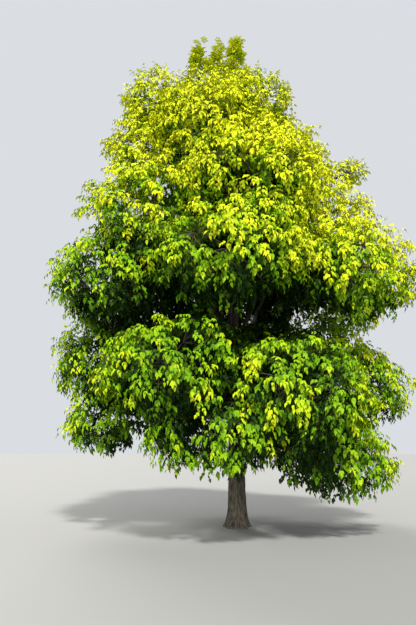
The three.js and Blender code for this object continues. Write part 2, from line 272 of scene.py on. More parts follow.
# Each tier of masses: how high on the trunk its limbs start and how high it lies, how much
# lower its right is than its left (slant) and its front than its back (sink), how far it
# reaches left and right, and a mass's half-sizes outwards, sideways and up
TIERS = [
    {
        "name": "skirt", "count": 5, "first_turn": 36, "attach": 1.28, "height": 1.84,
        "slant": 0.5, "sink": 0, "left": 3.6, "right": 3.25, "sizes": (1.35, 1.5, 0.82),
        "tilt": -22, "droop": 1.0, "boughs": True, "hollow": 0,
    },
    {
        "name": "low", "count": 6, "first_turn": 0, "attach": 2.05, "height": 3.25,
        "slant": 0.5, "sink": 1.0, "left": 3.9, "right": 3.65, "sizes": (1.5, 1.62, 0.95),
        "tilt": -16, "droop": 0.9, "boughs": True, "hollow": 0,
    },
    {
        "name": "broad", "count": 6, "first_turn": 30, "attach": 3.35, "height": 4.76,
        "slant": -0.05, "sink": 0, "left": 3.98, "right": 3.95, "sizes": (1.6, 1.7, 1.08),
        "tilt": -14, "droop": 0.85, "boughs": True, "hollow": 0.5,
    },
    {
        "name": "middle", "count": 5, "first_turn": 0, "attach": 4.8, "height": 6.2,
        "slant": -0.2, "sink": 0, "left": 3.6, "right": 3.1, "sizes": (1.5, 1.6, 1.2),
        "tilt": 0, "droop": 0.75, "boughs": True, "hollow": 0,
    },
    {
        "name": "upper", "count": 5, "first_turn": 36, "attach": 6.4, "height": 7.6,
        "slant": 0.4, "sink": 0, "left": 2.88, "right": 2.15, "sizes": (1.25, 1.3, 1.15),
        "tilt": 10, "droop": 0.65, "boughs": False, "hollow": 0,
    },
    {
        "name": "shoulder", "count": 3, "first_turn": 60, "attach": 7.9, "height": 8.7,
        "slant": 0.5, "sink": 0, "left": 2.54, "right": 1.3, "sizes": (0.93, 0.96, 0.85),
        "tilt": 12, "droop": 0.5, "boughs": False, "hollow": 0,
    },
]
TURN_SCATTER = 14
HEIGHT_SCATTER = 0.42
SIZE_SCATTER = 0.14
TIER_SEED = 685
SEED_STEP = 97
DRAW_FACTOR = 1664525
DRAW_STEP = 1013904223
DRAW_RANGE = 2**32
TOP_LEADER = {"name": "leader_right", "tip": 11.0, "half": 1.32, "reach": 0.52, "lean": 0.16}
SIDE_LEADERS = [
    {
        "name": "leader_left", "x": -0.78, "y": -0.15, "tip": 10.74, "half": 1.16,
        "reach": 0.43, "fork": 7.85, "lean": 0,
    },
    {
        "name": "leader_middle", "x": -0.4, "y": 0.44, "tip": 11.03, "half": 1.13,
        "reach": 0.43, "fork": 8.01, "lean": 0.07,
    },
]
SPUR = {
    "name": "spur", "middle": (2.45, 0, 7.35), "tilt": 14, "sizes": (0.56, 0.38, 0.29),
    "attach": 5.9, "droop": 0.3,
}
LEADER_DROOP = 0.08
BOUGH_STAGGER = 0.17
BOUGH_FOOT_SHARE = 0.38
BOUGH_TAPER = 0.8
BOUGH_RISE = 0.75
BOUGH_BEND = 0.35
BOUGH_SIDES = 16
BOUGH_RINGS = 46
COLLAR_SWELL = 0.5
COLLAR_FADE = 14
ENTRY_SHARE = 0.8
ENTRY_DROP = 0.25
YOUNG_BARK = {
    "ridges": (0.065, 0.054, 0.04),
    "furrows": (0.03, 0.024, 0.018),
    "bloom": (0.05, 0.055, 0.03),
}
Z_AXIS = Vector((0, 0, 1))


def seeded(seed):
    """Random numbers that are the same on every run, and the same as the solids' own."""
    state = seed

    def draw():
        nonlocal state
        state = (DRAW_FACTOR * state + DRAW_STEP) % DRAW_RANGE
        return state / DRAW_RANGE

    return draw


def trunk_point_at(height):
    return point_on(trunk_curve, height / TRUNK_HEIGHT)


def mass_of(name, middle, turn, tilt, sizes):
    """A mass of leaves: its middle, its own axes and its half-sizes along them."""
    out = Vector((math.cos(turn), math.sin(turn), math.tan(tilt))).normalized()
    side = Vector((-math.sin(turn), math.cos(turn), 0))
    return {
        "name": name, "middle": middle, "axes": (out, side, out.cross(side)),
        "sizes": sizes, "size": math.prod(sizes) ** (1 / 3), "upright": False,
        "lean": 0, "hollow": 1,
    }


def point_in(mass, direction, share):
    """The point of a mass in a direction given along its own axes."""
    point = mass["middle"].copy()
    for axis, size, part in zip(mass["axes"], mass["sizes"], direction):
        point += axis * part * size * share
    return point


def tier_masses(tier, tier_index):
    """A tier's masses, set round the trunk a little unevenly in turn, height and size."""
    draw = seeded(TIER_SEED + SEED_STEP * tier_index)
    masses = []
    for index in range(tier["count"]):
        even = tier["first_turn"] + index * 360 / tier["count"]
        turn = math.radians(even + (draw() - 0.5) * TURN_SCATTER)
        grown = 1 + (draw() - 0.5) * SIZE_SCATTER
        sizes = [size * grown for size in tier["sizes"]]
        reach = mix(tier["left"], tier["right"], (1 + math.cos(turn)) / 2) - sizes[0]
        raised = (tier["sink"] * math.sin(turn) - tier["slant"] * math.cos(turn)) / 2
        height = tier["height"] + raised + (draw() - 0.5) * HEIGHT_SCATTER
        middle = Vector((math.cos(turn) * reach, math.sin(turn) * reach, height))
        name = f"{tier['name']}_{index + 1}"
        mass = mass_of(name, middle, turn, math.radians(tier["tilt"]), sizes)
        mass["attach"] = tier["attach"] + (index * 2) % tier["count"] * BOUGH_STAGGER / 2
        mass["carrier"] = "bough" if tier["boughs"] else "trunk side"
        mass["droop"] = tier["droop"]
        mass["hollow"] = 1 + tier["hollow"] * max(0, -math.sin(turn))
        masses.append(mass)
    return masses


def leader_mass(leader, middle, carrier, attach):
    sizes = [leader["reach"], leader["reach"], leader["half"]]
    mass = mass_of(leader["name"], middle, 0, 0, sizes)
    mass.update(upright=True, carrier=carrier, attach=attach, droop=LEADER_DROOP)
    mass["lean"] = leader["lean"] / leader["reach"]
    return mass


trunk_end = trunk_curve[3]
end_heading = heading_on(trunk_curve, 1)
top_height = TOP_LEADER["tip"] - TOP_LEADER["half"] - trunk_end.z
top_middle = trunk_end + end_heading * (top_height / end_heading.z)
masses = [mass for index, tier in enumerate(TIERS) for mass in tier_masses(tier, index)]
masses.append(leader_mass(TOP_LEADER, top_middle, "trunk tip", TRUNK_HEIGHT))
for leader in SIDE_LEADERS:
    middle = Vector((leader["x"], leader["y"], leader["tip"] - leader["half"]))
    masses.append(leader_mass(leader, middle, "bough", leader["fork"]))
spur_tilt = math.radians(SPUR["tilt"])
spur_mass = mass_of(SPUR["name"], Vector(SPUR["middle"]), 0, spur_tilt, SPUR["sizes"])
spur_mass.update(carrier="bough", attach=SPUR["attach"], droop=SPUR["droop"])
masses.append(spur_mass)


def entry_of(mass):
    """Where the mass's own stem takes over from the bough or the trunk."""
    if mass["carrier"] == "trunk side":
        return trunk_point_at(mass["attach"])
    if mass["carrier"] == "trunk tip":
        return trunk_end
    inward = (0, 0, -1) if mass["upright"] else (-1, 0, -ENTRY_DROP)
    return point_in(mass, inward, ENTRY_SHARE)


def bough_curve(mass):
    start = trunk_point_at(mass["attach"])
    end = entry_of(mass)
    bend = (end - start).length * BOUGH_BEND
    level = (end - start) * Vector((1, 1, 0))
    leaving = (level.normalized() + Z_AXIS * BOUGH_RISE).normalized()
    arriving = (mass["middle"] - end).normalized()
    return [start, start + leaving * bend, end - arriving * bend, end]


def roll_bough(mesh, mass):
    foot = trunk_radius(mass["attach"] / TRUNK_HEIGHT, 0) * BOUGH_FOOT_SHARE

    def radius_at(share, angle):
        collar = 1 + COLLAR_SWELL * math.exp(-share * COLLAR_FADE)
        return mix(foot, LIMB_TIP_RADIUS, share**BOUGH_TAPER) * collar

    roll_limb(mesh, bough_curve(mass), radius_at, BOUGH_SIDES, BOUGH_RINGS)


young_bark = bark_material("young_bark", YOUNG_BARK)
for group in ["skirt", "low", "broad", "middle", "leader", "spur"]:
    carried = [m for m in masses if m["name"].startswith(group) and m["carrier"] == "bough"]
    bough_mesh = new_limb_mesh()
    for mass in carried:
        roll_bough(bough_mesh, mass)
    nodes = [f"bough_{mass['name']}" for mass in carried]
    finish_piece(f"boughs_{group}", bough_mesh, young_bark, nodes)


# Branches
# Each bough, or the trunk, runs on as a stem to the middle of its mass of leaves. There it
# parts into branches that wind round the mass's leading axis by the golden angle. They are
# rolled as the boughs are, in one mesh.
MASS_SEED = 7001
BRANCHES_PER_MASS = 5
BRANCHES_PER_LEADER = 4
BRANCH_SWEEP = (0.95, -0.33)
BRANCH_REACH = (0.54, 0.66)
BRANCH_TURN_SCATTER = 0.6
BRANCH_BEND = 0.33
BRANCH_STIFFNESS = 3
STEM_END_RADIUS = 0.022
BRANCH_TIP_RADIUS = 0.006
BRANCH_SIDES = 7
BRANCH_RINGS = 9
GOLDEN_ANGLE = math.pi * (3 - math.sqrt(5))


def branch_directions(mass, draw):
    count = BRANCHES_PER_LEADER if mass["upright"] else BRANCHES_PER_MASS
    directions = []
    for index in range(count):
        ahead = mix(*BRANCH_SWEEP, index / (count - 1))
        turn = index * GOLDEN_ANGLE + draw() * BRANCH_TURN_SCATTER
        across = math.sqrt(1 - ahead**2)
        first = across * math.cos(turn)
        second = across * math.sin(turn)
        directions.append((first, second, ahead) if mass["upright"] else (ahead, first, second))
    return directions


def branch_curves(mass, draw):
    """The stem's curve, then those of the branches that leave its end."""
    foot = entry_of(mass)
    middle = mass["middle"]
    heading = (middle - foot).normalized()
    curves = [[foot, foot.lerp(middle, 1 / 3), foot.lerp(middle, 2 / 3), middle]]
    for direction in branch_directions(mass, draw):
        tip = point_in(mass, direction, mix(*BRANCH_REACH, draw()))
        bend = (tip - middle).length * BRANCH_BEND
        leaving = (heading + (tip - middle).normalized()).normalized()
        sag = Z_AXIS * mass["droop"] / BRANCH_STIFFNESS
        arriving = ((tip - middle).normalized() - sag).normalized()
        curves.append([middle, middle + leaving * bend, tip - arriving * bend, tip])
    return curves


branch_mesh = new_limb_mesh()
for index, mass in enumerate(masses):
    mass["curves"] = branch_curves(mass, seeded(MASS_SEED + SEED_STEP * index))
    mass["radii"] = [(LIMB_TIP_RADIUS, STEM_END_RADIUS)]
    mass["radii"] += [(STEM_END_RADIUS, BRANCH_TIP_RADIUS)] * (len(mass["curves"]) - 1)
    for curve, radii in zip(mass["curves"], mass["radii"]):
        roll_limb(
            branch_mesh, curve, lambda share, angle: mix(*radii, share),
            BRANCH_SIDES, BRANCH_RINGS,
        )
leaf_nodes = [f"leaves_{mass['name']}" for mass in masses]
finish_piece("branches", branch_mesh, young_bark, leaf_nodes)


# Branchlets
# Finer limbs that leave the branches for places spread evenly over each mass. They droop at
# their ends, or rise in the leaders. Each is a slim three-sided tube of brown twig bark, and
# all of them are one mesh.
ELLIPSOID_POWER = 1.6
BRANCHLETS_PER_SQUARE_METRE = 2.9
UPPER_CROWN_DENSITY = 1.35
FEWEST_BRANCHLETS = 14
BRANCHLET_REACH = (0.7, 0.9)
BRANCHLET_LEAST = 0.3
BRANCHLET_DRAW_IN = 0.05
BRANCHLET_BEND = 0.36
BRANCHLET_DROOP = 0.7
SPIRE_BRANCHLET_RISE = 0.8
BRANCHLET_RADII = (0.0085, 0.0035)
BRANCHLET_RINGS = 4
BRANCHLET_COLOUR = (0.1, 0.085, 0.05)
BRANCHLET_ROUGHNESS = 0.85
CELL_GAP = 0.006
FEET_PER_BRANCH = 6
SPIRE_LEAST = 0.1
INNER_LENGTH = 2.2
INNER_BRANCHLETS = 0.45
FEET_ON_BOUGH = (0.16, 0.3, 0.45, 0.6, 0.75, 0.9)
TURNING_COST = 0.7
SPRIGS_PER_FOOT = 4
SPRIG_EVERY = 3
SPRIG_LENGTH = (0.4, 1.0)
SPRIG_AHEAD = 0.4
SPRIG_ASIDE = 0.8
FLECKS_PER_METRE = 60
FLECK_DETAIL = 3
FLECK_TONES = (0.6, 1.35)
TWIG_GLOSS = 0.2


def spire_width(height):
    """How wide a leader is at a share of its half-height above or below its middle."""
    return max(SPIRE_LEAST, (1 - abs(height)) ** 2)


def share_in(mass, point):
    """How far out of a mass's middle a point lies: 1 at its edge.

    Leaders are pointed. The other masses reach further in towards the trunk, and some
    are hollowed from below.
    """
    offset = point - mass["middle"]
    out, side, up = (offset.dot(a) / s for a, s in zip(mass["axes"], mass["sizes"]))
    if mass["upright"]:
        return max(abs(up), math.hypot(out - mass["lean"] * max(0, up), side) / spire_width(up))
    out = out if out > 0 else out / INNER_LENGTH
    up = up if up > 0 else up * mass["hollow"]
    return math.hypot(out, side, up)


def owns_point(mass, point):
    """True on the mass's side of the flat walls between it and its neighbours."""
    own = (point - mass["middle"]).length_squared - mass["size"] ** 2
    for other in masses:
        if other["name"] == mass["name"]:
            continue
        theirs = (point - other["middle"]).length_squared - other["size"] ** 2
        if (theirs - own) / (2 * (other["middle"] - mass["middle"]).length) < CELL_GAP / 2:
            return False
    return True


def within(mass, point):
    """True where a branchlet may end: in the mass's own space, and short of its edge."""
    return owns_point(mass, point) and share_in(mass, point) < BRANCHLET_REACH[1]


def surface_of(mass):
    """A mass's surface in square metres, by a close rule for an ellipsoid."""
    a, b, c = (size**ELLIPSOID_POWER for size in mass["sizes"])
    return 4 * math.pi * ((a * b + a * c + b * c) / 3) ** (1 / ELLIPSOID_POWER)


def spread_directions(mass, draw):
    """Directions all round a mass, wound by the golden angle and a little uneven.

    They are closer together in the upper crown, and some more lead in towards the trunk,
    where the mass is stretched.
    """
    density = UPPER_CROWN_DENSITY if mass["carrier"] == "trunk side" else 1
    wanted = surface_of(mass) * BRANCHLETS_PER_SQUARE_METRE * density
    count = max(FEWEST_BRANCHLETS, round(wanted))
    extra = 0 if mass["upright"] else round(count * INNER_BRANCHLETS)
    directions = []
    for index in range(count + 2 * extra):
        height = 1 - 2 * (index % count + draw()) / count
        turn = index * GOLDEN_ANGLE + draw() * BRANCH_TURN_SCATTER
        if mass["upright"]:
            across = spire_width(height)
            out = across * math.cos(turn) + mass["lean"] * max(0, height)
        else:
            across = math.sqrt(max(0, 1 - height**2))
            out = across * math.cos(turn)
            out *= INNER_LENGTH if out < 0 else 1
            height /= mass["hollow"] if height < 0 else 1
        if index < count or out < 0:
            directions.append((out, across * math.sin(turn), height))
    return directions


def feet_on(mass):
    """Places along the bough, stem and branches from which a branchlet may leave."""
    feet = []
    if mass["carrier"] == "bough" and not mass["upright"]:
        bough = bough_curve(mass)
        feet += [(point_on(bough, share), heading_on(bough, share)) for share in FEET_ON_BOUGH]
    for curve in mass["curves"]:
        for step in range(1, FEET_PER_BRANCH + 1):
            share = step / FEET_PER_BRANCH
            feet.append((point_on(curve, share), heading_on(curve, share)))
    return feet


def branchlet_to(mass, tip, feet):
    """A branchlet from the foot that leads to its tip with the least length and turning."""

    def cost(foot):
        reach = tip - foot[0]
        return reach.length * (1 + TURNING_COST * (1 - foot[1].dot(reach.normalized())))

    place, heading = min(feet, key=cost)
    bend = (tip - place).length * BRANCHLET_BEND
    leaving = (heading + (tip - place).normalized()).normalized()
    outward = (tip - mass["middle"]).normalized()
    rise = SPIRE_BRANCHLET_RISE if mass["upright"] else -BRANCHLET_DROOP * mass["droop"]
    arriving = (outward + Z_AXIS * rise).normalized()
    return [place, place + leaving * bend, tip - arriving * bend, tip]


def branchlets_of(mass, draw):
    """A mass's branchlets, each drawn in until its tip is within the mass."""
    feet = feet_on(mass)
    curves = []
    for direction in spread_directions(mass, draw):
        share = mix(*BRANCHLET_REACH, draw())
        while share > BRANCHLET_LEAST and not within(mass, point_in(mass, direction, share)):
            share -= BRANCHLET_DRAW_IN
        if share > BRANCHLET_LEAST:
            curves.append(branchlet_to(mass, point_in(mass, direction, share), feet))
    return curves


def sprigs_of(mass, draw):
    """Longer twigs that hang from a bough and its branches into the hollow under a mass."""
    feet = feet_on(mass)
    on_bough = len(FEET_ON_BOUGH)
    curves = []
    for place, heading in feet[:on_bough] * SPRIGS_PER_FOOT + feet[on_bough::SPRIG_EVERY]:
        across = heading.cross(Z_AXIS).normalized() * mix(-1, 1, draw())
        way = (heading * SPRIG_AHEAD + across * SPRIG_ASIDE - Z_AXIS).normalized()
        tip = place + way * mix(*SPRIG_LENGTH, draw())
        if within(mass, tip):
            bend = (tip - place).length * BRANCHLET_BEND
            leaving = (across + heading).normalized()
            curves.append([place, place + leaving * bend, tip + Z_AXIS * bend, tip])
    return curves


def unit(vectors):
    return vectors / np.linalg.norm(vectors, axis=-1, keepdims=True)


def points_on(curves, shares):
    """Places and headings at the same shares of many curves: two arrays, curve by share."""
    a, b, c, d = (curves[:, i, None, :] for i in range(4))
    s = np.asarray(shares)[None, :, None]
    r = 1 - s
    places = a * r**3 + 3 * b * r**2 * s + 3 * c * r * s**2 + d * s**3
    headings = unit((b - a) * r**2 + 2 * (c - b) * r * s + (d - c) * s**2)
    return places, headings


def level_across(headings):
    """A level direction square to each heading, or +X where the heading is upright."""
    across = np.cross(headings, (0.0, 0.0, 1.0))
    size = np.linalg.norm(across, axis=-1, keepdims=True)
    slanting = size > UPRIGHT_SLOPE
    return np.where(slanting, across / np.maximum(size, UPRIGHT_SLOPE), (1.0, 0.0, 0.0))


def mesh_from_arrays(name, corners, faces):
    """A mesh of many small triangles, from an array of places and one of corner numbers."""
    data = bpy.data.meshes.new(name)
    data.vertices.add(len(corners))
    data.vertices.foreach_set("co", corners.astype(np.float32).ravel())
    data.loops.add(faces.size)
    data.loops.foreach_set("vertex_index", faces.astype(np.int32).ravel())
    data.polygons.add(len(faces))
    data.polygons.foreach_set("loop_start", np.arange(0, faces.size, 3, dtype=np.int32))
    data.update(calc_edges=True)
    data.shade_smooth()
    return data


def slim_tubes(name, curves, radii, rings):
    """Three-sided tubes along many curves, closed at the foot and drawn to a point."""
    places, headings = points_on(curves, np.arange(rings) / rings)
    across = level_across(curves[:, 3] - curves[:, 0])[:, None, :]
    first = unit(across - headings * (across * headings).sum(-1, keepdims=True))
    second = np.cross(headings, first)
    radius = np.linspace(*radii, rings)[None, :, None, None]
    turns = (np.arange(3) * math.tau / 3)[:, None]
    around = first[:, :, None] * np.cos(turns) + second[:, :, None] * np.sin(turns)
    tube = (places[:, :, None] + around * radius).reshape(len(curves), rings * 3, 3)
    corners = np.concatenate([tube, curves[:, 3:]], axis=1)
    faces = [(0, 2, 1)]
    for ring in range(rings - 1):
        for side in range(3):
            a, b = ring * 3 + side, ring * 3 + (side + 1) % 3
            faces += [(a, b, b + 3), (a, b + 3, a + 3)]
    last = (rings - 1) * 3
    faces += [(last + side, last + (side + 1) % 3, rings * 3) for side in range(3)]
    starts = np.arange(len(curves))[:, None, None] * corners.shape[1]
    all_faces = (np.array(faces)[None] + starts).reshape(-1, 3)
    return mesh_from_arrays(name, corners.reshape(-1, 3), all_faces)


def twig_material(name, colour, roughness):
    """Smooth twig bark with small pale and dark flecks."""
    material = bpy.data.materials.new(name)
    material.use_nodes = True
    nodes = material.node_tree.nodes
    links = material.node_tree.links
    shader = nodes["Principled BSDF"]
    shader.inputs["Roughness"].default_value = roughness
    shader.inputs["Specular IOR Level"].default_value = TWIG_GLOSS
    place = nodes.new("ShaderNodeTexCoord")
    flecks = nodes.new("ShaderNodeTexNoise")
    flecks.inputs["Scale"].default_value = FLECKS_PER_METRE
    flecks.inputs["Detail"].default_value = FLECK_DETAIL
    links.new(place.outputs["Object"], flecks.inputs["Vector"])
    tone = nodes.new("ShaderNodeValToRGB")
    for end, shade in zip(tone.color_ramp.elements, FLECK_TONES):
        end.color = (*(part * shade for part in colour), 1)
    links.new(flecks.outputs["Fac"], tone.inputs["Fac"])
    links.new(tone.outputs["Color"], shader.inputs["Base Color"])
    return material


branchlets = []
for index, mass in enumerate(masses):
    draw = seeded(MASS_SEED + SEED_STEP * (index + len(masses)))
    branchlets += [(mass, curve) for curve in branchlets_of(mass, draw)]
    if mass["hollow"] > 1:
        whole_mass = {**mass, "hollow": 1}
        branchlets += [(whole_mass, curve) for curve in sprigs_of(whole_mass, draw)]
branchlet_curves = np.array([curve for _, curve in branchlets])
branchlet_bark = twig_material("branchlet_bark", BRANCHLET_COLOUR, BRANCHLET_ROUGHNESS)
branchlet_data = slim_tubes("branchlets", branchlet_curves, BRANCHLET_RADII, BRANCHLET_RINGS)
place_piece("branchlets", branchlet_data, branchlet_bark, leaf_nodes)


# Shoots
# This year's growth: short, slim shoots that stand off every branchlet in turn and bow
# under their leaves. Their bark is smooth and still yellow-green, and each with its leaves
# makes one spray.
SHOOTS_PER_BRANCHLET = 5
SHOOTS_FROM = 0.34
SHOOT_ANGLE = 0.95
SHOOT_RISE = 0.15
SPIRE_SHOOT_SIZE = 0.36
SHOOT_LENGTH = (0.22, 0.4)
SHOOT_SIZES = (1, 0.8, 0.62, 0.46)
SHOOT_DROOP = 0.45
SHOOT_ROOM = 0.05
SHOOT_CLEARANCE = 0.03
SHOOT_RADII = (0.0035, 0.0016)
SHOOT_RINGS = 2
SHOOT_SEED = 4242
SHOOT_COLOUR = (0.12, 0.16, 0.03)
SHOOT_ROUGHNESS = 0.6
COLUMN_WIDTH = 0.36
MOST_ROWS = 1000
ODD_WAY = (0.31, 0.94, 0.17)
SIDES_LOOKED_FROM = 12
SLOPES_LOOKED_FROM = (0.2, 0.7)
SLOPE_OF_SKY = 1.2
BARE_DEPTH = 8
KEEP_ONE_OF = 2


def shoot_curve(start, heading, length, droop):
    """A shoot that starts along its heading and sinks by its droop at the end."""
    sink = Z_AXIS * droop * length
    return [
        start,
        start + heading * (length / 3),
        start + heading * (length * 2 / 3) - sink / 3,
        start + heading * length - sink,
    ]


def clears_trunk(point):
    share = min(1, max(0, point.z / TRUNK_HEIGHT))
    away = (point - point_on(trunk_curve, share)).length
    return away > trunk_radius(share, 0) + SHOOT_CLEARANCE


def shoots_of(mass, curve, draw):
    """A branchlet's shoots, each with its mass and how young it is, from 0 to about 2."""
    shoots = []
    vigour = draw()
    droop = SHOOT_DROOP * mass["droop"]
    spin = draw() * math.tau
    for index in range(SHOOTS_PER_BRANCHLET):
        share = mix(SHOOTS_FROM, 1, index / (SHOOTS_PER_BRANCHLET - 1))
        start = point_on(curve, share)
        along = heading_on(curve, share)
        heading = along
        if share < 1:
            first = along.orthogonal().normalized()
            turn = spin + index * GOLDEN_ANGLE
            aside = first * math.cos(turn) + along.cross(first) * math.sin(turn)
            heading = along * math.cos(SHOOT_ANGLE) + aside * math.sin(SHOOT_ANGLE)
            heading = (heading + Z_AXIS * SHOOT_RISE).normalized()
        length = mix(*SHOOT_LENGTH, draw()) * (SPIRE_SHOOT_SIZE if mass["upright"] else 1)
        tries = [shoot_curve(start, heading, length * size, droop) for size in SHOOT_SIZES]
        edge = 1 - SHOOT_ROOM / mass["size"]
        fitting = [c for c in tries if share_in(mass, c[3]) < edge and clears_trunk(c[3])]
        if fitting:
            shoots.append((mass, fitting[0], share + vigour))
    return shoots


def sprays_before(sprays, way):
    """How many other sprays stand between each spray and the open in a direction.

    The crown is cut into square columns along that direction, and each is counted down.
    """
    way = unit(np.array(way, dtype=float))
    across = unit(np.cross(way, ODD_WAY))
    plane = np.stack([across, np.cross(way, across)], axis=1)
    column, row = np.floor(sprays @ plane / COLUMN_WIDTH).astype(int).T
    column = column * MOST_ROWS + row
    order = np.lexsort((-sprays @ way, column))
    before = np.empty(len(sprays), dtype=int)
    before[order] = np.arange(len(sprays)) - np.searchsorted(column[order], column[order])
    return before


def depth_of(sprays, slopes):
    """How many sprays stand between each one and the open by its clearest way out.

    The ways out lead straight up, and to all sides at each of the slopes.
    """
    depth = sprays_before(sprays, (0, 0, 1))
    for side in range(SIDES_LOOKED_FROM):
        turn = side / SIDES_LOOKED_FROM * math.tau
        for rise in slopes:
            way = (math.cos(turn), math.sin(turn), rise)
            depth = np.minimum(depth, sprays_before(sprays, way))
    return depth


# Every shoot, less every second one of those so deep in the crown that they lie in the dark
draw = seeded(SHOOT_SEED)
shoots = [shoot for branchlet in branchlets for shoot in shoots_of(*branchlet, draw)]
spray_at = np.array([(curve[0] + curve[3]) / 2 for _, curve, _ in shoots])
shoot_depth = depth_of(spray_at, SLOPES_LOOKED_FROM)
leaves_overhead = depth_of(spray_at, [SLOPE_OF_SKY])
open_enough = (shoot_depth < BARE_DEPTH) | (np.arange(len(shoots)) % KEEP_ONE_OF == 0)
shoots = [shoot for shoot, is_open in zip(shoots, open_enough) if is_open]
spray_at = spray_at[open_enough]
shoot_depth = shoot_depth[open_enough]
leaves_overhead = leaves_overhead[open_enough]
shoot_curves = np.array([curve for _, curve, _ in shoots])
shoot_droops = np.array([mass["droop"] for mass, _, _ in shoots])
shoot_bark = twig_material("shoot_bark", SHOOT_COLOUR, SHOOT_ROUGHNESS)
shoot_data = slim_tubes("shoots", shoot_curves, SHOOT_RADII, SHOOT_RINGS)
place_piece("shoots", shoot_data, shoot_bark, leaf_nodes)


# Leaves
# Leaves stand in pairs on the shoots. A thin stalk runs on as the rib that carries three or
# five pointed, hanging leaflets, about as long as a finger and folded along their middle.
# Each leaflet is four faces of one plain tint, or two faces deep in the crown.
PAIRS_PER_SHOOT = 4
PAIR_FROM = 0.22
PAIR_TURN = 1.1
PAIR_TURN_SCATTER = 0.5
STALK_ANGLE = 0.95
STALK_SCATTER = 0.15
STALK_SAG = 0.25
STALK_LENGTH = (0.045, 0.08)
STALK_WIDTH = 0.003
RIB_SAG = 0.5
RIB_LEAST_DROOP = 0.3
RIB_LENGTH = (0.035, 0.06)
FIVE_LEAFLETS = 0.4
LEAFLET_LENGTH = (0.07, 0.1)
LEAFLET_WIDTH = 0.58
LEAFLET_SCATTER = 0.14
LEAFLET_LEAST_SAG = 0.4
LEAFLET_DROOP_POWER = 1.5
FACING_OUT = 0.7
FACING_UP = 0.7
FACING_SCATTER = 0.45
END_LEAFLET_SAG = 0.6
SIDE_LEAFLET_SAG = 0.5
SIDE_LEAFLET_AHEAD = 0.55
SIDE_LEAFLET_ASIDE = 0.8
SIDE_LEAFLET_SIZE = 0.84
LEAFY_DEPTH = 2
DEEP_LEAFLET_SIZE = 1.3
LEAF_SEED = 918
BOX_MARGIN = 0.025

random = np.random.default_rng(LEAF_SEED)
down = np.array((0.0, 0.0, -1.0))


def scattered(low, high, *shape):
    return random.uniform(low, high, shape)


def jitter(most, *shape):
    return random.uniform(-most, most, shape)


# Where each leaf's stalk leaves its shoot, where it bends into the rib, and the rib's end
pair_shares = np.linspace(PAIR_FROM, 1, PAIRS_PER_SHOOT)
pairs_at, shoot_headings = points_on(shoot_curves, pair_shares)
shoot_count = len(shoot_curves)
shape = (shoot_count, PAIRS_PER_SHOOT, 2)
along = np.broadcast_to(shoot_headings[:, :, None], (*shape, 3))
level = level_across(along)
above = np.cross(level, along)
sides = np.array((1.0, -1.0))[None, None, :, None]
spin = jitter(PAIR_TURN_SCATTER, shoot_count, PAIRS_PER_SHOOT, 1, 1)
spin = spin + (np.arange(PAIRS_PER_SHOOT) % 2)[None, :, None, None] * PAIR_TURN
aside = (level * np.cos(spin) + above * np.sin(spin)) * sides
droops = shoot_droops[:, None, None, None]
stalk_way = along * math.cos(STALK_ANGLE) + aside * math.sin(STALK_ANGLE)
stalk_way = unit(stalk_way + jitter(STALK_SCATTER, *shape, 3) + down * STALK_SAG * droops)
leaf_foot = np.broadcast_to(pairs_at[:, :, None], (*shape, 3))
leaf_bend = leaf_foot + stalk_way * scattered(*STALK_LENGTH, *shape, 1)
rib_way = unit(stalk_way + down * RIB_SAG * (RIB_LEAST_DROOP + droops))
leaf_end = leaf_bend + rib_way * scattered(*RIB_LENGTH, *shape, 1)


def flat(values):
    """One row for each leaf."""
    return values.reshape(-1, values.shape[-1])


leaf_foot, leaf_bend, leaf_end = flat(leaf_foot), flat(leaf_bend), flat(leaf_end)
stalk_way, rib_way = flat(stalk_way), flat(rib_way)
leaf_shoot = np.repeat(np.arange(shoot_count), PAIRS_PER_SHOOT * 2)
leaf_pair = np.tile(np.repeat(np.arange(PAIRS_PER_SHOOT), 2), shoot_count)
deep_leaf = (shoot_depth >= LEAFY_DEPTH)[leaf_shoot]
leaf_droop = shoot_droops[leaf_shoot][:, None] ** LEAFLET_DROOP_POWER
shoot_middles = np.array([mass["middle"] for mass, _, _ in shoots])
outward = unit(leaf_end - shoot_middles[leaf_shoot])

# Leaves that would reach too far past the tree's own box are left out, and so is the lowest
# pair of each shoot deep in the crown
low, high = np.array(cad_box)
margin = (high - low) * BOX_MARGIN
leaf_reach = leaf_end + rib_way * LEAFLET_LENGTH[1]
kept = ((leaf_reach > low - margin) & (leaf_reach < high + margin)).all(-1)
kept &= ~deep_leaf | (leaf_pair > 0)


def leaflets(roots, ways, chosen, size):
    """Leaflets that grow from these roots towards their ways, for the chosen leaves."""
    count = chosen.sum()
    roots, ways = roots[chosen], unit(ways[chosen] + jitter(LEAFLET_SCATTER, count, 3))
    size = size * np.where(deep_leaf[chosen], DEEP_LEAFLET_SIZE, 1)[:, None]
    lengths = scattered(*LEAFLET_LENGTH, count, 1) * size
    faced = outward[chosen] * FACING_OUT - down * FACING_UP + jitter(FACING_SCATTER, count, 3)
    across = unit(np.cross(faced, ways))
    return roots, ways, across, lengths, np.flatnonzero(chosen)


five = kept & ~deep_leaf & (random.random(len(leaf_foot)) < FIVE_LEAFLETS)
sag = down * (LEAFLET_LEAST_SAG + leaf_droop)
rib_across = level_across(rib_way)
parts = [leaflets(leaf_end, rib_way + sag * END_LEAFLET_SAG, kept, 1)]
for side in (1, -1):
    ways = rib_way * SIDE_LEAFLET_AHEAD + rib_across * SIDE_LEAFLET_ASIDE * side
    ways = ways + sag * SIDE_LEAFLET_SAG
    parts.append(leaflets(leaf_bend, ways, kept, SIDE_LEAFLET_SIZE))
    parts.append(leaflets((leaf_bend + leaf_end) / 2, ways, five, SIDE_LEAFLET_SIZE))
roots, ways, across, lengths, leaflet_leaf = (np.concatenate(part) for part in zip(*parts))

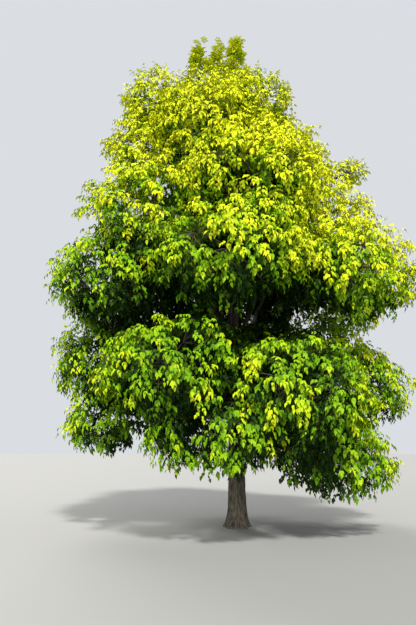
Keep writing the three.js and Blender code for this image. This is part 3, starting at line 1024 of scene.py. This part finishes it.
# A leaflet's outline, folded along its middle: the share of its length, the share of half
# its width, and the height, which is a share of its length. Deep in the crown it is plainer
LEAFLET_FOLD = 0.07
LEAFLET_HANG = 0.16
WIDEST_AT = 0.3
NARROWS_AT = 0.66
NARROWED = 0.62
NARROWED_HANG = 0.3
NARROWED_HEIGHT = LEAFLET_FOLD - NARROWED_HANG * LEAFLET_HANG
PLAIN_WIDEST_AT = 0.4
LEAFLET_SHAPES = {
    "outer": (
        [
            (0, 0, 0),
            (WIDEST_AT, 1, LEAFLET_FOLD),
            (WIDEST_AT, -1, LEAFLET_FOLD),
            (NARROWS_AT, NARROWED, NARROWED_HEIGHT),
            (NARROWS_AT, -NARROWED, NARROWED_HEIGHT),
            (1, 0, -LEAFLET_HANG),
        ],
        [(0, 3, 1), (0, 5, 3), (0, 2, 4), (0, 4, 5)],
    ),
    "inner": (
        [
            (0, 0, 0),
            (PLAIN_WIDEST_AT, 1, LEAFLET_FOLD),
            (PLAIN_WIDEST_AT, -1, LEAFLET_FOLD),
            (1, 0, -LEAFLET_HANG),
        ],
        [(0, 3, 1), (0, 2, 3)],
    ),
}
face_way = np.cross(ways, across)


def leaflet_corners(shape, chosen):
    along, aside, raised = np.array(shape).T[:, :, None]
    return roots[chosen, None] + lengths[chosen, None] * (
        ways[chosen, None] * along
        + across[chosen, None] * aside * LEAFLET_WIDTH / 2
        + face_way[chosen, None] * raised
    )


# How golden and how lit each leaf is painted: golden and light high up and on the right, where
# the light falls most, and greener and darker lower down, deep inside and under other leaves.
# The change of hue is the cultivar's own, gold in sun and green in shade, and the darkening is
# painted shade. The youngest leaves are the most golden. Pairs of values are for the lowest
# sprays and for the highest
GREEN_AND_SHADED_BELOW = 3.7
GOLDEN_AND_LIT_ABOVE = 7.0
SUNLIT_RIGHT_COUNTS = 0.42
SPRAY_GOLD_AND_LIGHT = (0.54, 0.98)
GREENER_AND_SHADED_INSIDE = (0.15, 0.05)
GREENER_AND_SHADED_UNDER_LEAVES = (0.075, 0.05)
MOST_LEAVES_COUNTED = 6
GOLDEN_YOUTH = (0.24, 0.22)
GOLDEN_PAIR = 0.24
GOLD_SCATTER = 0.02
# Higher up and further to the right counts as more sunlit: painted light on top of the
# cultivar's gold
golden = (spray_at @ (SUNLIT_RIGHT_COUNTS, 0, 1) - GREEN_AND_SHADED_BELOW) / (GOLDEN_AND_LIT_ABOVE - GREEN_AND_SHADED_BELOW)
golden = np.clip(golden, 0, 1)
youth = np.array([young for _, _, young in shoots])
shading_leaves_counted = np.minimum(leaves_overhead, MOST_LEAVES_COUNTED)
# Deep inside and under other leaves the tint turns greener, as the cultivar does in shade, and
# darker, which is painted shade
shoot_gold_and_light = mix(*SPRAY_GOLD_AND_LIGHT, golden) - mix(*GREENER_AND_SHADED_INSIDE, golden) * shoot_depth
shoot_gold_and_light += mix(*GOLDEN_YOUTH, golden) * (youth - youth.mean())
shoot_gold_and_light -= mix(*GREENER_AND_SHADED_UNDER_LEAVES, golden) * shading_leaves_counted
leaf_youth = leaf_pair / (PAIRS_PER_SHOOT - 1) - 0.5
leaf_gold_and_light = shoot_gold_and_light[leaf_shoot] + GOLDEN_PAIR * leaf_youth
leaf_gold_and_light += jitter(GOLD_SCATTER, len(leaf_gold_and_light))

# Tints of leaf, from the most golden and lightest to the greenest and darkest. The darkest
# greens are painted shade, for leaves deep inside and under others. Each piece is one tint's
# leaflets of one shape, or a part of them where they are many
LEAF_TINTS = [
    {"name": "lemon", "colour": (0.61, 0.65, 0.012), "slot": "gold_leaves"},
    {"name": "gold", "colour": (0.485, 0.57, 0.01), "slot": "gold_leaves"},
    {"name": "pale_lime", "colour": (0.36, 0.5, 0.008), "slot": "gold_leaves"},
    {"name": "lime", "colour": (0.215, 0.39, 0.006), "slot": "gold_leaves"},
    {"name": "grass_green", "colour": (0.13, 0.29, 0.004), "slot": "green_leaves"},
    {"name": "leaf_green", "colour": (0.08, 0.19, 0.004), "slot": "green_leaves"},
    {"name": "mid_green", "colour": (0.04, 0.1, 0.003), "slot": "green_leaves"},
    {"name": "deep_green", "colour": (0.009, 0.03, 0.002), "slot": "green_leaves"},
]
LEAF_ROUGHNESS = 0.5
LEAF_GLOSS = 0.07
MOST_TRIANGLES = 190000


def leaf_material(name, colour):
    """A softly glossy leaf of one plain tint."""
    material = bpy.data.materials.new(name)
    material.use_nodes = True
    shader = material.node_tree.nodes["Principled BSDF"]
    shader.inputs["Base Color"].default_value = (*colour, 1)
    shader.inputs["Roughness"].default_value = LEAF_ROUGHNESS
    shader.inputs["Specular IOR Level"].default_value = LEAF_GLOSS
    return material


leaf_tint = np.clip((1 - leaf_gold_and_light) * len(LEAF_TINTS), 0, len(LEAF_TINTS) - 1).astype(int)
leaflet_tint = leaf_tint[leaflet_leaf]
is_inner = deep_leaf[leaflet_leaf]
for index, tint in enumerate(LEAF_TINTS):
    material = leaf_material(f"leaf_{tint['name']}", tint["colour"])
    for place, (shape, shape_faces) in LEAFLET_SHAPES.items():
        chosen = np.flatnonzero((leaflet_tint == index) & (is_inner == (place == "inner")))
        batches = math.ceil(len(chosen) * len(shape_faces) / MOST_TRIANGLES)
        for number, batch in enumerate(np.array_split(chosen, batches)):
            corners = leaflet_corners(shape, batch).reshape(-1, 3)
            starts = np.arange(len(batch))[:, None, None] * len(shape)
            faces = (np.array(shape_faces)[None] + starts).reshape(-1, 3)
            name = f"leaflets_{tint['name']}_{place}_{number + 1}"
            data = mesh_from_arrays(name, corners, faces)
            place_piece(name, data, material, leaf_nodes)

# Leaf stalks: a slim point to the bend and another along the rib, or one for both deep inside
STALK_COLOUR = (0.2, 0.28, 0.02)
half = level_across(stalk_way) * STALK_WIDTH / 2
lower = np.stack([leaf_foot - half, leaf_foot + half, leaf_bend], axis=1)[kept & ~deep_leaf]
upper = np.stack([leaf_bend - half, leaf_bend + half, leaf_end], axis=1)[kept & ~deep_leaf]
whole = np.stack([leaf_foot - half, leaf_foot + half, leaf_end], axis=1)[kept & deep_leaf]
stalk_corners = np.concatenate([lower, upper, whole]).reshape(-1, 3)
stalk_faces = np.arange(len(stalk_corners)).reshape(-1, 3)
stalk_data = mesh_from_arrays("leaf_stalks", stalk_corners, stalk_faces)
stalk_green = leaf_material("stalk_green", STALK_COLOUR)
place_piece("leaf_stalks", stalk_data, stalk_green, leaf_nodes)


# Floor, light and camera
# A plain pale studio: one wide floor, an even pale surround, a strong light high in front of
# the tree, a weak soft one low in front and another behind, and the camera at a person's eye
# height, tipped up at the crown.
FLOOR_SIZE = 160
FLOOR_COLOUR = (0.33, 0.33, 0.322)
FLOOR_ROUGHNESS = 0.9
CAMERA_AT = (-0.57, -12.4, 1.6)
CAMERA_PITCH = 12.1
CAMERA_LENS = 35
CAMERA_SENSOR = 36
LIGHTS = [
    {"name": "key_light", "way": (0.12, -0.8, 0.82), "strength": 4.1, "spread": 6},
    {"name": "fill_light", "way": (-0.25, -1, 0.3), "strength": 1.85, "spread": 60},
    {"name": "back_light", "way": (-0.35, 0.8, 0.6), "strength": 2.2, "spread": 30},
]
LIGHT_COLOUR = (1.0, 0.98, 0.94)
SURROUND_COLOUR = (0.78, 0.81, 0.85)
SURROUND_SEEN = 0.9
SURROUND_LIGHT = 0.52

floor_mesh = bmesh.new()
bmesh.ops.create_grid(floor_mesh, x_segments=1, y_segments=1, size=FLOOR_SIZE / 2)
floor_data = bpy.data.meshes.new("floor")
floor_mesh.to_mesh(floor_data)
floor_mesh.free()
floor = bpy.data.objects.new("floor", floor_data)
bpy.context.scene.collection.objects.link(floor)
floor_material = bpy.data.materials.new("pale_floor")
floor_material.use_nodes = True
floor_shader = floor_material.node_tree.nodes["Principled BSDF"]
floor_shader.inputs["Base Color"].default_value = (*FLOOR_COLOUR, 1)
floor_shader.inputs["Roughness"].default_value = FLOOR_ROUGHNESS
floor_data.materials.append(floor_material)

world = bpy.data.worlds.new("pale_surround")
bpy.context.scene.world = world
world.use_nodes = True
world_nodes = world.node_tree.nodes
world_links = world.node_tree.links
surround = world_nodes["Background"]
surround.inputs["Color"].default_value = (*SURROUND_COLOUR, 1)
surround.inputs["Strength"].default_value = SURROUND_LIGHT
seen = world_nodes.new("ShaderNodeBackground")
seen.inputs["Color"].default_value = (*SURROUND_COLOUR, 1)
seen.inputs["Strength"].default_value = SURROUND_SEEN
ray = world_nodes.new("ShaderNodeLightPath")
choice = world_nodes.new("ShaderNodeMixShader")
world_links.new(ray.outputs["Is Camera Ray"], choice.inputs["Fac"])
world_links.new(surround.outputs["Background"], choice.inputs[1])
world_links.new(seen.outputs["Background"], choice.inputs[2])
world_links.new(choice.outputs["Shader"], world_nodes["World Output"].inputs["Surface"])

for light in LIGHTS:
    light_data = bpy.data.lights.new(light["name"], "SUN")
    light_data.energy = light["strength"]
    light_data.angle = math.radians(light["spread"])
    light_data.color = LIGHT_COLOUR
    lamp = bpy.data.objects.new(light["name"], light_data)
    lamp.rotation_euler = Vector(light["way"]).to_track_quat("Z", "Y").to_euler()
    bpy.context.scene.collection.objects.link(lamp)

camera_data = bpy.data.cameras.new("camera")
camera_data.lens = CAMERA_LENS
camera_data.sensor_width = CAMERA_SENSOR
camera = bpy.data.objects.new("camera", camera_data)
camera.location = CAMERA_AT
camera.rotation_euler = (math.radians(90 + CAMERA_PITCH), 0, 0)
bpy.context.scene.collection.objects.link(camera)
bpy.context.scene.camera = camera
bpy.context.scene.view_settings.view_transform = "Standard"
